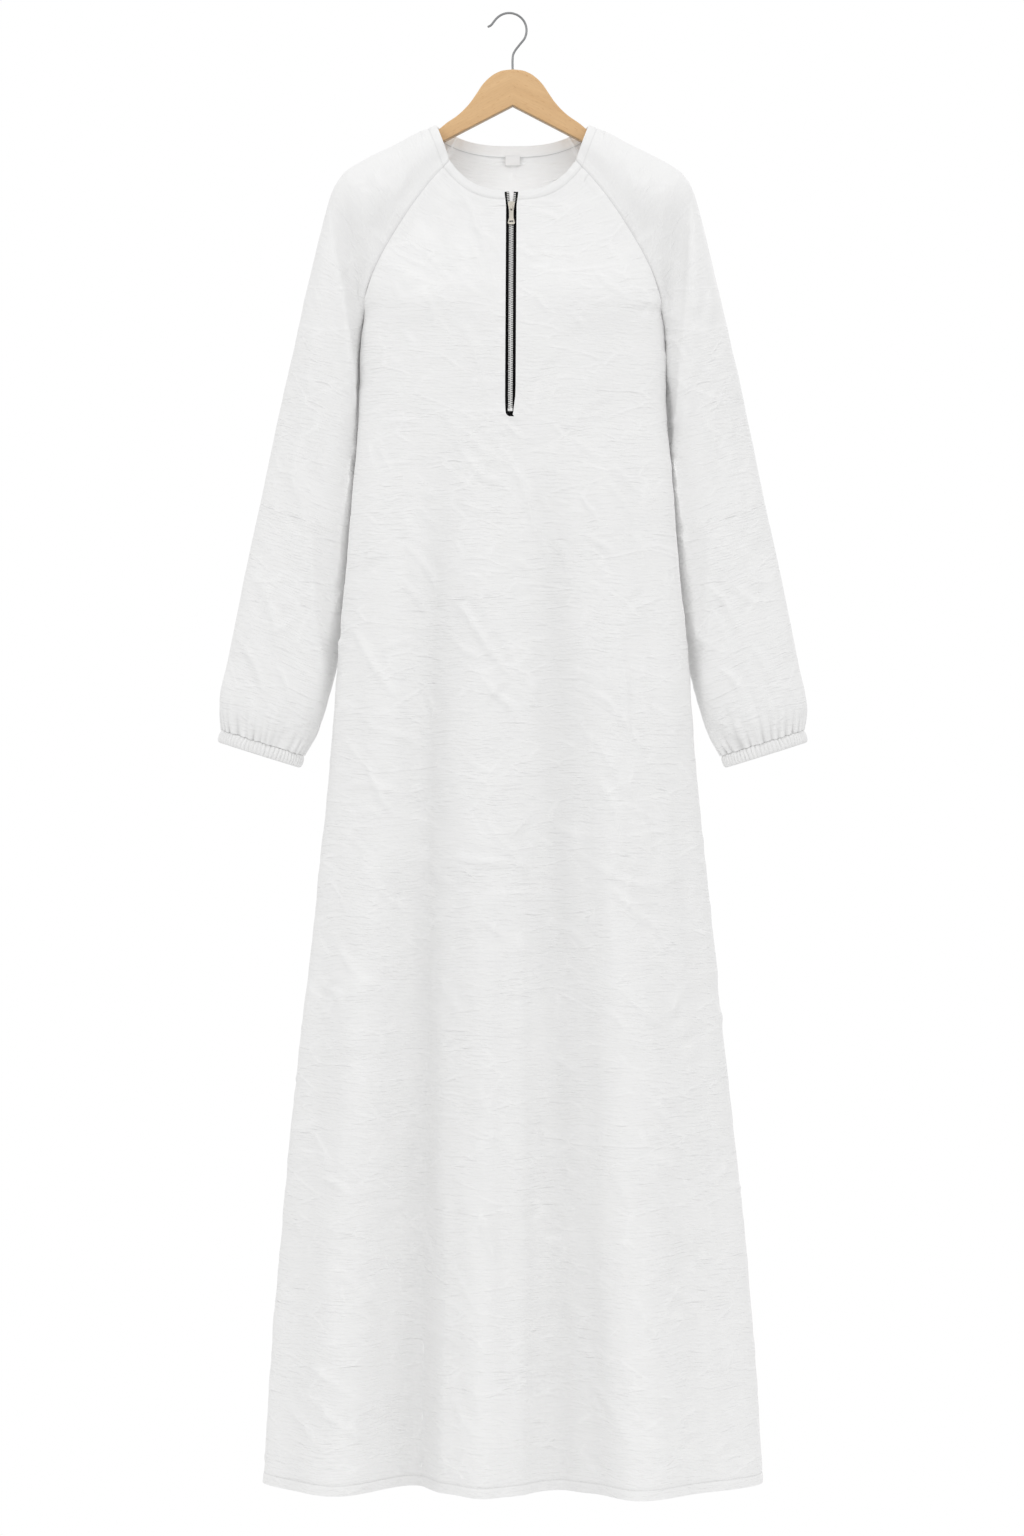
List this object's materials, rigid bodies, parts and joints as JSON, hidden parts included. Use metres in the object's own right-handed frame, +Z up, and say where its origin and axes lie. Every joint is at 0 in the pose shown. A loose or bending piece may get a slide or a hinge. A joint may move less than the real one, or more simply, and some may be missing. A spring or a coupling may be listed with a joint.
{
  "type": "abaya on a wooden clothes hanger",
  "caption": "Long loose pull-on gown of crinkled cloth with raglan sleeves, gathered cuffs and a half zip, hanging on a flat wooden hanger with a wire hook.",
  "frame": {"origin": "the lowest point of the hook's inner bend, where a rail carries the hanger, on the garment's centre plane", "axes": "+Z up along the hook's stem, +X to the right as seen from the front, and the garment's front with its zip faces -Y"},
  "size_m": [0.6222, 0.2153, 1.5459],
  "materials": {
    "crinkle_cloth": "matt white crinkled crepe",
    "label_cloth": "smooth white satin tape",
    "zip_tape": "matt black woven tape",
    "zip_metal": "bright satin nickel",
    "pale_wood": "satin clear lacquer on pale beech",
    "hook_wire": "polished plated wire"
  },
  "bodies": {
    "garment": {"front": "crinkle_cloth", "back": "crinkle_cloth", "sleeve_right": "crinkle_cloth", "sleeve_left": "crinkle_cloth", "neck_facing": "crinkle_cloth", "cuff_right": "crinkle_cloth", "cuff_left": "crinkle_cloth", "label": "label_cloth", "zip_tape_left": "zip_tape", "zip_tape_right": "zip_tape", "zip_chain_left": "zip_metal", "zip_chain_right": "zip_metal", "zip_chain": "zip_metal", "zip_stop": "zip_metal", "zip_slider": "zip_metal", "hanger": "pale_wood", "hook": "hook_wire"},
    "pull_tab": {"zip_pull": "zip_metal"}
  },
  "joints": [
    {"name": "pull_tab_hinge", "type": "hinge", "parent": "garment", "child": "pull_tab", "pos_m": [-0.00148, -0.03011, -0.20724], "axis": [-1, 0, 0], "range_deg": [0, 160]}
  ]
}
